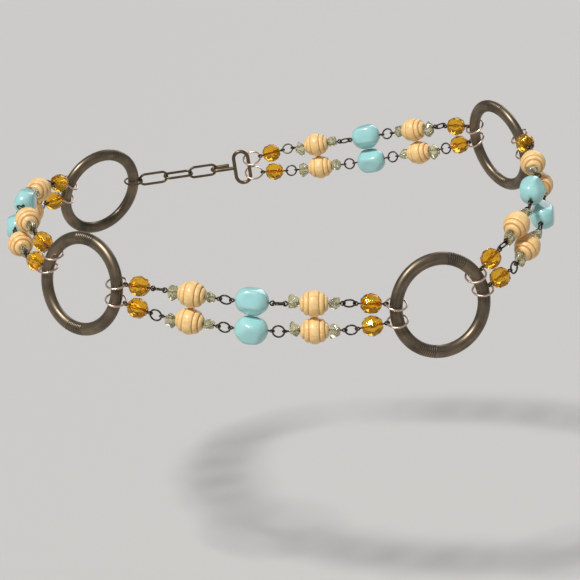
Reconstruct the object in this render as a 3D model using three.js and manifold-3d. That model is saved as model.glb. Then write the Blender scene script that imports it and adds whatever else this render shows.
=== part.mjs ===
// A beaded chain belt in its worn form: four flat metal rings joined by double strings of beads,
// with a plain hook and a short extension chain at the back.
// Millimetres, +Z up. The wearer's front faces -Y and +X is to the right of someone looking at it.
// The origin is the middle of the waist, at the height of the front beads.

import * as THREE from "three";
import { mergeVertices } from "three/addons/utils/BufferGeometryUtils.js";
import Module from "manifold-3d";

const wasm = await Module();
wasm.setup();

// The waist that the belt lies on: an oval that grows wider downwards. These are its shape and
// what it loses in half width and half depth over its rise. Its girth follows from the belt's length.
const WAIST = {
  widthOverDepth: 1.390863,
  squareness: 2.24,
  widthLossPerRise: 0.375,
  depthLossPerRise: 0.025,
};

// How far the belt's middle line rises round the waist, from the front's middle
const RISE = {
  toBack: 25.9,
  rightOverLeft: 12.1,
  atSides: 16.6,
  quarterLean: -8.2,
};

// Metal rings, with an oval bar cut across by two bands of grooves
const RING = {
  outer: 50,
  bar: 6.2,
  thickness: 5.2,
  inset: 1.6,
  drop: 3.8,
  grooveDepth: 0.4,
  groovePitch: 1.5,
  grooves: 5,
};

// Each ring's place, counted in ring pitches from the front's middle, its bands' lean from upright,
// and how far the links round its bar are turned up from level at their front, in degrees
const RINGS = [
  { name: "front_left", pitches: -0.5, bandLean: 6, linkTurn: -24 },
  { name: "front_right", pitches: 0.5, bandLean: -35, linkTurn: -24 },
  { name: "back_right", pitches: 1.5, bandLean: 12, linkTurn: 30 },
  { name: "back_left", pitches: -1.5, bandLean: 20, linkTurn: 30 },
];

// Each double string's place, counted in ring pitches, and what holds its two ends
const SECTIONS = [
  { name: "front", pitches: 0, from: "front_left", to: "front_right" },
  { name: "right", pitches: 1, from: "front_right", to: "back_right" },
  { name: "back", pitches: 2, from: "back_right", to: "hook" },
  { name: "left", pitches: -1, from: "back_left", to: "front_left" },
];
const ROWS = [
  { name: "upper", side: 1 },
  { name: "lower", side: -1 },
];

// Beads and chips: length along the string, and radius or size across it
const AMBER = { length: 9.5, radius: 5 };
const WOOD = { length: 13, radius: 6.35 };
const TURQUOISE = { length: 15.8, radius: 6.5, flatness: 0.92 };
const CHIP = { length: 5, height: 8.6, depth: 5.6 };

// Wire links: outer diameter and wire
const LARGE_LINK = { outer: 10.6, wire: 1 };
const SMALL_LINK = { outer: 6.4, wire: 0.85 };

// The pins through the beads, each with an eye at both ends. With the small links between them
// they are one thin rod here, which runs through every bead of a string.
const PIN = { wire: 0.8, eye: 2.8 };
const ROD = 1.2;

// The hook: a tall loop that both strings hang on, and a shank bent back outwards
const HOOK = { wire: 2, loopWidth: 10, loopHeight: 20, reach: 13, bend: 3.4, tip: 6 };
const HOOK_LINK_TURN = 30;
const CHAIN_LINK = { outer: 15, width: 7.6, wire: 1.4 };

// What the hook and the chain add to the belt's length, past one ring pitch for each double string
const CLOSING = 67.5;

const BEAD_GAP = 0.3;
const LINK_CLEARANCE = 1.1;
// The share of a wire that two soldered links have in common where they meet
const SOLDER_BITE = 0.15;
// The stretch of the route over which its direction is taken
const CHORD = 2;

// Facets
const BEAD_SIDES = 10;
const BAR_SIDES = 8;
const PLAIN_ARC_STEPS = 6;
const WIRE_SIDES = 5;
const CHIP_SIDES = 6;
const LINK_STEPS = 10;
const SHANK_STEPS = 12;

// Amber glass: rows of facets from the flat table at each end, as shares of half length and radius
const AMBER_ROWS = [
  { at: -1, radius: 0.46, turned: false },
  { at: -0.46, radius: 0.93, turned: true },
  { at: 0.46, radius: 0.93, turned: false },
  { at: 1, radius: 0.46, turned: true },
];

// Wood: five turned bands with four grooves between, as shares of half length and radius
const WOOD_ROWS = [
  { at: -1, radius: 0.5 },
  { at: -0.84, radius: 0.68 },
  { at: -0.68, radius: 0.62 },
  { at: -0.5, radius: 0.9 },
  { at: -0.34, radius: 0.82 },
  { at: -0.2, radius: 1 },
  { at: 0.2, radius: 1 },
  { at: 0.34, radius: 0.82 },
  { at: 0.5, radius: 0.9 },
  { at: 0.68, radius: 0.62 },
  { at: 0.84, radius: 0.68 },
  { at: 1, radius: 0.5 },
];

// Turquoise: a soft-cornered nugget, as shares of half length and radius
const TURQUOISE_ROWS = [
  { at: -1, radius: 0.36, turned: false },
  { at: -0.68, radius: 0.84, turned: true },
  { at: -0.05, radius: 1, turned: false },
  { at: 0.6, radius: 0.86, turned: true },
  { at: 1, radius: 0.34, turned: false },
];

// Chips: a wide waist between two tables, as shares of length and of size across
const CHIP_ROWS = [
  { at: -1, radius: 0 },
  { at: -1, radius: 0.62 },
  { at: 0.1, radius: 1 },
  { at: 1, radius: 0.5 },
  { at: 1, radius: 0 },
];

// How each stone chip sits on its rod: turned about it, moved off it, and its size, as shares
const CHIP_SEATS = [
  { turn: 15, off: 0.1, size: 1 },
  { turn: 70, off: -0.08, size: 0.94 },
  { turn: 140, off: 0.12, size: 0.9 },
  { turn: 215, off: -0.1, size: 1 },
];

const MATERIALS = {
  bronze: { color: 0x6e6253, roughness: 0.42, metalness: 0.85 },
  pinkBrass: { color: 0xb89a86, roughness: 0.35, metalness: 0.85 },
  amber: { color: 0xc08a35, roughness: 0.12, metalness: 0 },
  wood: { color: 0xe6c288, roughness: 0.62, metalness: 0 },
  turquoise: { color: 0x9fdedb, roughness: 0.2, metalness: 0 },
};

const radians = THREE.MathUtils.degToRad;

// Distances along a string, all worked out from the pieces that lie on it
const barRadius = (RING.outer - RING.bar) / 2;
const largeInner = LARGE_LINK.outer / 2 - LARGE_LINK.wire;

function wireRadius(link) {
  return (link.outer - link.wire) / 2;
}

// From a bead's or chip's end to the middle of the link's wire, past the pin's eye
function eyeReach(link) {
  return BEAD_GAP + PIN.eye - PIN.wire - link.wire / 2;
}

const barSlack = largeInner - LINK_CLEARANCE - RING.bar / 2;
const toLargeLink = barRadius + barSlack;
const toFirstLink =
  toLargeLink +
  wireRadius(LARGE_LINK) +
  eyeReach(LARGE_LINK) +
  AMBER.length +
  eyeReach(SMALL_LINK) +
  wireRadius(SMALL_LINK);
const chippedWood = WOOD.length + 2 * (CHIP.length + BEAD_GAP);
const toSecondLink =
  toFirstLink + 2 * wireRadius(SMALL_LINK) + 2 * eyeReach(SMALL_LINK) + chippedWood;
const halfPitch =
  toSecondLink + wireRadius(SMALL_LINK) + eyeReach(SMALL_LINK) + TURQUOISE.length / 2;
const PITCH = 2 * halfPitch;

// How far each string's links lie above or below the belt's middle line, so that the rows just clear
const turquoiseSpread = TURQUOISE.radius + BEAD_GAP / 2;
const woodSpread = 2 * (WOOD.radius + BEAD_GAP / 2) - turquoiseSpread;
const amberSpread = 2 * (AMBER.radius + BEAD_GAP / 2) - woodSpread;

// The four small links of a string, from its middle
const SMALL_JOINTS = [
  { along: toFirstLink - halfPitch, spread: woodSpread },
  { along: toSecondLink - halfPitch, spread: turquoiseSpread },
  { along: halfPitch - toSecondLink, spread: turquoiseSpread },
  { along: halfPitch - toFirstLink, spread: woodSpread },
];

// The belt's route: height, then the waist's surface at that height
function heightAt(turn) {
  return (
    (RISE.toBack * (1 - Math.cos(turn))) / 2 +
    RISE.rightOverLeft * Math.sin(turn) +
    (RISE.atSides * (1 - Math.cos(2 * turn))) / 2 +
    RISE.quarterLean * Math.sin(2 * turn)
  );
}

function waistPoint(depthAtFront, turn, height) {
  const power = 2 / WAIST.squareness;
  const halfWidth = depthAtFront * WAIST.widthOverDepth - WAIST.widthLossPerRise * height;
  const halfDepth = depthAtFront - WAIST.depthLossPerRise * height;
  const across = Math.sin(turn);
  const forward = Math.cos(turn);
  return new THREE.Vector3(
    halfWidth * Math.sign(across) * Math.abs(across) ** power,
    -halfDepth * Math.sign(forward) * Math.abs(forward) ** power,
    height,
  );
}

// A point of the belt's middle line, one bead's half thickness off the waist, and the way outwards
function routePoint(depthAtFront, turn) {
  const nudge = 0.01;
  const height = heightAt(turn);
  const waistAt = (turned, raised) => waistPoint(depthAtFront, turn + turned, height + raised);
  const round = waistAt(nudge, 0).sub(waistAt(-nudge, 0));
  const rise = waistAt(0, CHORD / 2).sub(waistAt(0, -CHORD / 2));
  const outward = round.cross(rise).normalize();
  const standoff = (AMBER.radius + TURQUOISE.radius) / 2 - BEAD_GAP / 2;
  const point = waistAt(0, 0).addScaledVector(outward, standoff);
  return { point, outward };
}

// The route as closely spaced samples, each with its distance from the front's middle
const ROUTE_STEPS = 720;

function routeRound(depthAtFront) {
  const samples = [];
  for (let step = 0; step <= ROUTE_STEPS; step++) {
    const sample = routePoint(depthAtFront, (2 * Math.PI * step) / ROUTE_STEPS);
    const last = samples[step - 1];
    sample.distance = last ? last.distance + last.point.distanceTo(sample.point) : 0;
    samples.push(sample);
  }
  return samples;
}

// The waist on which the belt just closes: a first guess, scaled until the route is as long as it
const BELT_LENGTH = SECTIONS.length * PITCH + CLOSING;
const FITTINGS = 12;
let waistDepth = BELT_LENGTH / Math.PI / (1 + WAIST.widthOverDepth);
for (let fitting = 0; fitting < FITTINGS; fitting++) {
  waistDepth *= BELT_LENGTH / routeRound(waistDepth).at(-1).distance;
}
const route = routeRound(waistDepth);

function sampleAt(distance) {
  const wrapped = THREE.MathUtils.euclideanModulo(distance, route.at(-1).distance);
  const next = route.findIndex((sample) => sample.distance > wrapped);
  const before = route[next - 1];
  const after = route[next];
  const share = (wrapped - before.distance) / (after.distance - before.distance);
  return {
    point: before.point.clone().lerp(after.point, share),
    outward: before.outward.clone().lerp(after.outward, share),
  };
}

// The directions along, out of and up the belt at a distance round it
function frameAt(distance) {
  const { point, outward } = sampleAt(distance);
  const ahead = sampleAt(distance + CHORD / 2).point;
  const along = ahead.sub(sampleAt(distance - CHORD / 2).point).normalize();
  const out = outward.addScaledVector(along, -outward.dot(along)).normalize();
  return { point, along, out, up: new THREE.Vector3().crossVectors(out, along) };
}

function offset(frame, { along = 0, out = 0, up = 0 }) {
  return frame.point
    .clone()
    .addScaledVector(frame.along, along)
    .addScaledVector(frame.out, out)
    .addScaledVector(frame.up, up);
}

// A placing whose Y axis is one direction and whose Z axis leans as near as it can to another
function placing(point, axis, towards) {
  const y = axis.clone().normalize();
  const z = towards.clone().addScaledVector(y, -towards.dot(y)).normalize();
  const x = new THREE.Vector3().crossVectors(y, z);
  return new THREE.Matrix4().makeBasis(x, y, z).setPosition(point);
}

// Closed solids: to manifold-3d and back
function solidOf(geometry) {
  const plain = geometry.clone();
  plain.deleteAttribute("normal");
  plain.deleteAttribute("uv");
  const merged = mergeVertices(plain, 1e-4);
  return new wasm.Manifold(
    new wasm.Mesh({
      numProp: 3,
      vertProperties: merged.getAttribute("position").array,
      triVerts: new Uint32Array(merged.index.array),
    }),
  );
}

function fuse(geometries) {
  const solid = geometries.map(solidOf).reduce((all, next) => all.add(next));
  const { vertProperties, triVerts, numProp } = solid.getMesh();
  const geometry = new THREE.BufferGeometry();
  geometry.setAttribute("position", new THREE.BufferAttribute(vertProperties, numProp));
  geometry.setIndex(new THREE.BufferAttribute(triVerts, 1));
  return geometry;
}

function closed(geometry) {
  geometry.deleteAttribute("normal");
  geometry.deleteAttribute("uv");
  return mergeVertices(geometry, 1e-4);
}

// A drilled bead round the Y axis, with every other row of corners turned half a side
function beadGeometry(bead, rows) {
  const half = bead.length / 2;
  const outline = rows.map((row) => new THREE.Vector2(row.radius * bead.radius, row.at * half));
  const drill = (ROD / 2 + BEAD_GAP) / Math.cos(Math.PI / BEAD_SIDES);
  const hole = [new THREE.Vector2(drill, half), new THREE.Vector2(drill, -half)];
  const profile = [...outline, ...hole, outline[0]];
  const geometry = new THREE.LatheGeometry(profile, BEAD_SIDES);
  const position = geometry.getAttribute("position");
  const halfSide = new THREE.Matrix4().makeRotationY(Math.PI / BEAD_SIDES);
  const corner = new THREE.Vector3();
  for (let index = 0; index < position.count; index++) {
    const row = index % profile.length;
    const turned = rows[row === profile.length - 1 ? 0 : row]?.turned;
    if (!turned) continue;
    corner.fromBufferAttribute(position, index).applyMatrix4(halfSide);
    position.setXYZ(index, corner.x, corner.y, corner.z);
  }
  return closed(geometry.scale(1, 1, bead.flatness ?? 1));
}

// Angles round a ring where its bar has a section, and how deep the bar is cut there
function ringStations() {
  const grooveStep = RING.groovePitch / barRadius / 2;
  const bandHalf = grooveStep * RING.grooves;
  const plainStep = (Math.PI - 2 * bandHalf) / PLAIN_ARC_STEPS;
  const stations = [];
  for (const middle of [Math.PI / 2, (3 * Math.PI) / 2]) {
    for (let step = 0; step <= 2 * RING.grooves; step++) {
      const cut = step % 2 ? RING.grooveDepth : 0;
      stations.push({ angle: middle - bandHalf + step * grooveStep, cut });
    }
    for (let step = 1; step < PLAIN_ARC_STEPS; step++) {
      stations.push({ angle: middle + bandHalf + step * plainStep, cut: 0 });
    }
  }
  return stations;
}

// A ring round the Y axis: a lathed bar whose columns of corners stand at the ring's stations
function ringGeometry() {
  const bar = new THREE.EllipseCurve(0, 0, RING.bar / 2, RING.thickness / 2);
  const section = bar.getPoints(BAR_SIDES);
  section[BAR_SIDES].copy(section[0]);
  const stations = ringStations();
  const geometry = new THREE.LatheGeometry(section, stations.length);
  const position = geometry.getAttribute("position");
  for (let index = 0; index < position.count; index++) {
    const corner = section[index % section.length];
    const column = Math.floor(index / section.length) % stations.length;
    const { angle, cut } = stations[column];
    const kept = 1 - cut / corner.length();
    const radius = barRadius + corner.x * kept;
    position.setXYZ(index, radius * Math.cos(angle), corner.y * kept, -radius * Math.sin(angle));
  }
  return closed(geometry);
}

// A round or long wire link whose length lies along Y and whose flat face looks along Z
function linkGeometry({ outer, width = outer, wire }, steps, sides = WIRE_SIDES) {
  const round = Math.min(outer, width);
  const geometry = new THREE.TorusGeometry((round - wire) / 2, wire / 2, sides, steps);
  if (outer === width) return geometry.rotateZ(Math.PI / 2);
  const position = geometry.rotateZ(Math.PI / steps).getAttribute("position");
  for (let index = 0; index < position.count; index++) {
    const y = position.getY(index);
    position.setY(index, y + (Math.sign(y) * (outer - width)) / 2);
  }
  return geometry;
}

// A path that is straight from each of its points to the next
class StraightStretches extends THREE.Curve {
  constructor(points) {
    super();
    this.points = points;
  }

  getPoint(share, target = new THREE.Vector3()) {
    const place = share * (this.points.length - 1);
    const index = Math.min(Math.floor(place), this.points.length - 2);
    return target.lerpVectors(this.points[index], this.points[index + 1], place - index);
  }

  getPointAt(share, target) {
    return this.getPoint(share, target);
  }

  getTangentAt(share, target) {
    return this.getTangent(share, target);
  }
}

// A round bar of a path's whole length
function barGeometry(path, wire, sides, steps) {
  const outline = new THREE.EllipseCurve(0, 0, wire / 2, wire / 2).getPoints(sides).slice(1);
  return new THREE.ExtrudeGeometry(new THREE.Shape(outline), { steps, extrudePath: path });
}

// A cut stone chip threaded on a rod along Y, with a table at each end
function chipGeometry({ turn, off, size }) {
  const profile = CHIP_ROWS.map(({ at, radius }) => new THREE.Vector2(radius / 2, at / 2));
  const chip = new THREE.LatheGeometry(profile, CHIP_SIDES);
  chip.scale(CHIP.height * size, CHIP.length, CHIP.depth * size);
  chip.translate(off * CHIP.height, 0, 0);
  return chip.rotateY(radians(turn));
}

// A direction turned from facing outwards towards facing up
function turnedOut(frame, degrees) {
  return frame.out
    .clone()
    .multiplyScalar(Math.cos(radians(degrees)))
    .addScaledVector(frame.up, Math.sin(radians(degrees)));
}

// Rings and hook: where they are, and the point of their bar that a string's last link goes round
const ringFrames = {};
for (const { name, pitches, linkTurn } of RINGS) {
  const frame = frameAt(pitches * PITCH);
  frame.point = offset(frame, { out: -RING.inset, up: -RING.drop });
  ringFrames[name] = { ...frame, linkTurn };
}
const hookFrame = frameAt(
  2 * PITCH + halfPitch - barRadius + RING.bar / 2 - HOOK.wire / 2,
);
hookFrame.point = offset(hookFrame, { out: -RING.inset });
hookFrame.linkTurn = HOOK_LINK_TURN;

function barPoint(holder, end, side) {
  if (holder === "hook") {
    return { point: offset(hookFrame, { up: side * amberSpread }), halfBar: HOOK.wire / 2 };
  }
  const up = side * amberSpread + RING.drop;
  const along = Math.sqrt(barRadius ** 2 - up ** 2);
  return {
    point: offset(ringFrames[holder], { along: end * along, up }),
    halfBar: ((RING.bar / 2) * barRadius) / along,
  };
}

// The large link round a bar, and the way its string leaves
function largeJoint(holder, end, side, neighbour) {
  const { point, halfBar } = barPoint(holder, end, side);
  const away = neighbour.clone().sub(point).normalize();
  const slack = largeInner - LINK_CLEARANCE - halfBar;
  const frame = holder === "hook" ? hookFrame : ringFrames[holder];
  return {
    point: point.addScaledVector(away, slack),
    frame,
    link: LARGE_LINK,
  };
}

// The six joints of one string, in order: a large link, four small ones and a large link
function stringJoints(section, row) {
  const small = SMALL_JOINTS.map(({ along, spread }) => {
    const frame = frameAt(section.pitches * PITCH + along);
    return { point: offset(frame, { up: row.side * spread }), frame, link: SMALL_LINK };
  });
  const first = largeJoint(section.from, 1, row.side, small[0].point);
  const last = largeJoint(section.to, -1, row.side, small[3].point);
  return [first, ...small, last];
}

// The five pins of one string, from the middle of one link's wire to the middle of the next
function stringPins(joints) {
  return joints.slice(1).map((next, index) => {
    const before = joints[index];
    const direction = next.point.clone().sub(before.point).normalize();
    const start = before.point.clone().addScaledVector(direction, wireRadius(before.link));
    const end = next.point.clone().addScaledVector(direction, -wireRadius(next.link));
    const uneven = (eyeReach(before.link) - eyeReach(next.link)) / 2;
    const middle = start.clone().lerp(end, 0.5).addScaledVector(direction, uneven);
    return { start, end, direction, middle };
  });
}

// A large link's solid, round its bar and joined to its string's outermost pin
function largeLinkGeometry({ point, frame }, pin) {
  const flat = turnedOut(frame, frame.linkTurn - 90);
  return linkGeometry(LARGE_LINK, LINK_STEPS).applyMatrix4(placing(point, pin.direction, flat));
}

// The chips that lie against a wood bead's two ends
function chipGeometries(pin, frame, seats) {
  const reach = (WOOD.length + CHIP.length) / 2 + BEAD_GAP;
  return [-1, 1].map((side, index) => {
    const point = pin.middle.clone().addScaledVector(pin.direction, side * reach);
    return chipGeometry(seats[index]).applyMatrix4(placing(point, pin.direction, frame.out));
  });
}

// One string's two large links, its rod and its chips, fused into one solid
function stringGeometry(joints, pins, frame) {
  const bends = joints.slice(1, -1).map((joint) => joint.point);
  const path = new StraightStretches([pins[0].start, ...bends, pins.at(-1).end]);
  return fuse([
    largeLinkGeometry(joints[0], pins[0]),
    largeLinkGeometry(joints.at(-1), pins.at(-1)),
    barGeometry(path, ROD, WIRE_SIDES, path.points.length - 1),
    ...chipGeometries(pins[1], frame, CHIP_SEATS.slice(0, 2)),
    ...chipGeometries(pins[3], frame, CHIP_SEATS.slice(2)),
  ]);
}

// The hook, in its own frame: Y runs along the belt and Z outwards, from the bar that the strings hang on
function hookGeometry() {
  const loop = linkGeometry(
    { outer: HOOK.loopHeight, width: HOOK.loopWidth, wire: HOOK.wire },
    LINK_STEPS,
    WIRE_SIDES + 1,
  );
  const farBar = HOOK.loopWidth - HOOK.wire;
  loop.rotateZ(Math.PI / 2).translate(0, farBar / 2, 0);
  const bendStart = farBar + HOOK.reach - HOOK.bend;
  const shank = new THREE.CatmullRomCurve3([
    new THREE.Vector3(0, farBar, 0),
    new THREE.Vector3(0, bendStart, 0),
    new THREE.Vector3(0, bendStart + HOOK.bend * 0.7, HOOK.bend * 0.3),
    new THREE.Vector3(0, bendStart + HOOK.bend, HOOK.bend),
    new THREE.Vector3(0, bendStart + HOOK.bend * 0.7, HOOK.bend * 1.7),
    new THREE.Vector3(0, bendStart, HOOK.bend * 2),
    new THREE.Vector3(0, bendStart - HOOK.tip, HOOK.bend * 2.1),
  ]);
  const bent = barGeometry(shank, HOOK.wire, WIRE_SIDES + 1, SHANK_STEPS);
  return fuse([loop, bent]);
}

// The extension chain: long links from inside the hook's bend to a large link round the last ring's bar
function chainGeometry() {
  const bendInside = HOOK.loopWidth - HOOK.wire + HOOK.reach - HOOK.wire / 2;
  const inside = bendInside - LINK_CLEARANCE / 2 - CHAIN_LINK.wire / 2;
  const start = offset(hookFrame, { along: inside, out: HOOK.bend });
  const bar = barPoint("back_left", -1, 0);
  const direction = bar.point.clone().sub(start).normalize();
  const slack = largeInner - LINK_CLEARANCE - bar.halfBar;
  const ringLink = bar.point.clone().addScaledVector(direction, -slack);
  const span = start.distanceTo(ringLink) - wireRadius(LARGE_LINK);
  const flatSide = Math.cos(Math.PI / WIRE_SIDES) * (1 - SOLDER_BITE);
  const lap = CHAIN_LINK.wire * flatSide;
  const lastLap = ((CHAIN_LINK.wire + LARGE_LINK.wire) / 2) * flatSide;
  const nominal = CHAIN_LINK.outer - CHAIN_LINK.wire;
  const pairs = Math.max(0, Math.round(((span + lastLap - nominal) / (nominal - lap)) / 2));
  const count = 2 * pairs + 1;
  const wireToWire = (span + lastLap + (count - 1) * lap) / count;
  const link = { ...CHAIN_LINK, outer: wireToWire + CHAIN_LINK.wire };
  const up = ringFrames.back_left.up;
  const across = new THREE.Vector3().crossVectors(direction, up);
  const links = Array.from({ length: count }, (_, index) => {
    const along = wireToWire / 2 + index * (wireToWire - lap);
    const point = start.clone().addScaledVector(direction, along);
    return linkGeometry(link, LINK_STEPS).applyMatrix4(
      placing(point, direction, index % 2 ? up : across),
    );
  });
  const last = linkGeometry(LARGE_LINK, LINK_STEPS).applyMatrix4(
    placing(ringLink, direction, up),
  );
  return fuse([...links, last]);
}

// The assembly
const belt = new THREE.Group();
belt.name = "belt";

function addMesh(group, name, geometry, finish, matrix) {
  const mesh = new THREE.Mesh(geometry, new THREE.MeshStandardMaterial(MATERIALS[finish]));
  mesh.name = name;
  matrix.decompose(mesh.position, mesh.quaternion, mesh.scale);
  group.add(mesh);
}

function frameMatrix(frame) {
  return placing(frame.point, frame.along, frame.out);
}

const ring = ringGeometry();
const beads = {
  amber: beadGeometry(AMBER, AMBER_ROWS),
  wood: beadGeometry(WOOD, WOOD_ROWS),
  turquoise: beadGeometry(TURQUOISE, TURQUOISE_ROWS),
};
const BEAD_ORDER = ["amber", "wood", "turquoise", "wood", "amber"];

for (const { name, bandLean } of RINGS) {
  const frame = ringFrames[name];
  const lying = placing(frame.point, frame.out, frame.up.clone().negate());
  lying.multiply(new THREE.Matrix4().makeRotationY(radians(bandLean)));
  addMesh(belt, `ring_${name}`, ring, "bronze", lying);
}

for (const section of SECTIONS) {
  const frame = frameAt(section.pitches * PITCH);
  const here = frameMatrix(frame);
  const group = new THREE.Group();
  group.name = `section_${section.name}`;
  here.decompose(group.position, group.quaternion, group.scale);
  const inSection = here.clone().invert();
  for (const row of ROWS) {
    const joints = stringJoints(section, row);
    const pins = stringPins(joints);
    const wires = stringGeometry(joints, pins, frame).applyMatrix4(inSection);
    const label = `${section.name}_${row.name}`;
    addMesh(group, `wires_and_chips_${label}`, wires, "pinkBrass", new THREE.Matrix4());
    pins.forEach((pin, index) => {
      const kind = BEAD_ORDER[index];
      const which = kind === "turquoise" ? "" : index < 2 ? "_1" : "_2";
      const place = inSection.clone().multiply(placing(pin.middle, pin.direction, frame.out));
      addMesh(group, `${kind}_${label}${which}`, beads[kind], kind, place);
    });
  }
  belt.add(group);
}

addMesh(belt, "hook", hookGeometry(), "bronze", frameMatrix(hookFrame));
addMesh(belt, "extension_chain", chainGeometry(), "bronze", new THREE.Matrix4());

export default belt;
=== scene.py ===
"""A beaded chain belt in its worn form: four bronze rings joined by double strings of beads.

Sizes are millimetres until a mesh is made, which is in metres. +Z is up, the wearer's front faces
-Y, and the origin is the middle of the waist, at the height of the front beads.
"""

import logging
from dataclasses import dataclass, field
from enum import Enum

import bpy
import numpy as np
from mathutils import Matrix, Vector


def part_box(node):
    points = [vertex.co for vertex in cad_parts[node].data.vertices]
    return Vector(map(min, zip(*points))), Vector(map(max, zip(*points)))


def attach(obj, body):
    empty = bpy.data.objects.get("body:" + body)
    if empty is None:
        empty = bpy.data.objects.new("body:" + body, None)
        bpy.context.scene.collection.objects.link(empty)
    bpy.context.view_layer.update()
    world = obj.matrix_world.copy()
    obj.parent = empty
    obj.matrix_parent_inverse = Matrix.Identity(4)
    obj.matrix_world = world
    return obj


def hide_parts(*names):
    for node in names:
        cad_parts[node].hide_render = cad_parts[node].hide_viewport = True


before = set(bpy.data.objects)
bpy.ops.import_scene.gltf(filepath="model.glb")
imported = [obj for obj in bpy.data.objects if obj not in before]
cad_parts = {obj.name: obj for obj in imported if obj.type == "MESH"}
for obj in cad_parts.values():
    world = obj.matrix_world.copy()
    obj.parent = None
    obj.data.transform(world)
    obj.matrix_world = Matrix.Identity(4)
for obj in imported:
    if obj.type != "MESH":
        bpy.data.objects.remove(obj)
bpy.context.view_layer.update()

MM = 0.001
LOG = logging.getLogger("belt")

Array = np.ndarray
Colour = tuple[float, float, float, float]


def unit(vectors: Array) -> Array:
    """Vectors scaled to length one: v / |v|."""
    return vectors / np.linalg.norm(vectors, axis=-1, keepdims=True)


def colour(red: float, green: float, blue: float) -> Colour:
    """A screen colour as linear light: c / 12.92 when dark, else ((c + 0.055) / 1.055)^2.4.

    Args:
        red: The screen's red, 0 to 255.
        green: Its green.
        blue: Its blue.

    Returns:
        The three shares of light, and 1 for opaque.
    """
    shares = np.array([red, green, blue]) / 255
    linear = np.where(shares <= 0.04045, shares / 12.92, ((shares + 0.055) / 1.055) ** 2.4)
    return (*linear.tolist(), 1.0)


class Row(Enum):
    """The two strings of a section, by the side of the belt's middle line that they lie on."""

    UPPER = 1
    LOWER = -1

    @property
    def label(self) -> str:
        """The row's name in piece names."""
        return self.name.lower()


class Kind(Enum):
    """The kinds of bead, in the words that node names use."""

    AMBER = "amber"
    WOOD = "wood"
    TURQUOISE = "turquoise"


class Holder(Enum):
    """What the end of a string hangs on."""

    FRONT_LEFT = "front_left"
    FRONT_RIGHT = "front_right"
    BACK_RIGHT = "back_right"
    BACK_LEFT = "back_left"
    HOOK = "hook"


@dataclass(frozen=True)
class Bead:
    """A bead's length along its string, its radius and how flat it is."""

    length: float
    radius: float
    flatness: float = 1.0


@dataclass(frozen=True)
class Link:
    """A wire link's outer size along it, its wire, and its width where it is longer than wide."""

    outer: float
    wire: float
    width: float = 0.0

    @property
    def wire_radius(self) -> float:
        """From the link's middle to the middle of its wire."""
        return (self.outer - self.wire) / 2


@dataclass(frozen=True)
class Sizes:
    """The belt's sizes, which are those of its solids."""

    bar_outer: float = 50.0
    bar_width: float = 6.2
    bar_thickness: float = 5.2
    ring_inset: float = 1.6
    ring_drop: float = 3.8
    amber: Bead = Bead(9.5, 5.0)
    wood: Bead = Bead(13.0, 6.35)
    turquoise: Bead = Bead(15.8, 6.5, 0.92)
    chip_length: float = 5.0
    chip_height: float = 8.6
    chip_depth: float = 5.6
    large_link: Link = Link(10.6, 1.0)
    small_link: Link = Link(6.4, 0.85)
    chain_link: Link = Link(15.0, 1.4, 7.6)
    pin_wire: float = 0.8
    eye: float = 2.8
    hook_wire: float = 2.0
    hook_loop_width: float = 10.0
    hook_loop_height: float = 20.0
    hook_reach: float = 13.0
    hook_bend: float = 3.4
    hook_tip: float = 6.0
    gap: float = 0.3
    link_clearance: float = 1.1

    @property
    def bar_radius(self) -> float:
        """From a ring's middle to the middle of its bar."""
        return (self.bar_outer - self.bar_width) / 2

    @property
    def large_inner(self) -> float:
        """The inner radius of a large link."""
        return self.large_link.outer / 2 - self.large_link.wire

    def eye_reach(self, link: Link) -> float:
        """From a bead's end, past the pin's eye, to the middle of the wire of the link in it."""
        return self.gap + self.eye - self.pin_wire - link.wire / 2


@dataclass(frozen=True)
class Placing:
    """A place with its own X, Y and Z directions, as the rows of axes."""

    origin: Array
    axes: Array

    @classmethod
    def facing(cls, origin: Array, axis: Array, towards: Array) -> "Placing":
        """A placing whose Y is one direction and whose Z leans as near as it can to another.

        Args:
            origin: The place, in millimetres.
            axis: The direction of Y.
            towards: The direction that Z leans to, Z = unit(t - (t . y) y) and X = y x z.

        Returns:
            The placing.
        """
        y = unit(axis)
        z = unit(towards - (towards @ y) * y)
        return cls(origin, np.stack([np.cross(y, z), y, z]))

    def put(self, points: Array) -> Array:
        """Points of the placing's own frame in the belt's frame: origin + p A."""
        return self.origin + points @ self.axes

    def spun(self, degrees: float) -> "Placing":
        """The same placing turned about its own Y.

        Args:
            degrees: The turn t.

        Returns:
            The placing, with X = cos t x - sin t z and Z = sin t x + cos t z.
        """
        turn = np.radians(degrees)
        x, y, z = self.axes
        return Placing(
            self.origin,
            np.stack([np.cos(turn) * x - np.sin(turn) * z, y, np.sin(turn) * x + np.cos(turn) * z]),
        )


@dataclass(frozen=True)
class Stand:
    """A place on the belt and the directions along it, out of it and up it."""

    point: Array
    along: Array
    out: Array
    up: Array

    def offset(self, along: float = 0.0, out: float = 0.0, up: float = 0.0) -> Array:
        """A point off the place: p + a along + o out + u up."""
        return self.point + along * self.along + out * self.out + up * self.up

    def moved(self, out: float = 0.0, up: float = 0.0) -> "Stand":
        """The same directions at a place off this one."""
        return Stand(self.offset(out=out, up=up), self.along, self.out, self.up)

    def turned(self, degrees: float) -> Array:
        """The way out, turned towards the way up: cos d out + sin d up."""
        turn = np.radians(degrees)
        return np.cos(turn) * self.out + np.sin(turn) * self.up


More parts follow.
